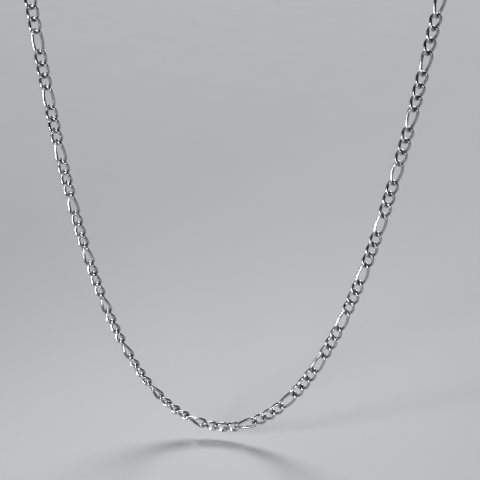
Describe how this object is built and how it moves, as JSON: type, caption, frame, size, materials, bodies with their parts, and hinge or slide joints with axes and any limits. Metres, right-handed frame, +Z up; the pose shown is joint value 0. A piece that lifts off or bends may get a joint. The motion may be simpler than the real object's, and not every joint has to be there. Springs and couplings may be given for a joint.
{
  "type": "figaro neck chain",
  "caption": "Closed neck chain of twisted oval wire links, short links between long ones, hanging as a narrow drop in front with a plain clasp at the nape.",
  "frame": {"origin": "the middle of the clasp, at the nape", "axes": "+X to the right as seen from the front, +Y to the back, +Z up"},
  "size_m": [0.1107, 0.0844, 0.1537],
  "materials": {
    "steel": "polished"
  },
  "bodies": {
    "root": {"chain_left": "steel", "chain_right": "steel", "jump_ring_left": "steel", "jump_ring_right": "steel", "clasp": "steel"}
  },
  "joints": []
}
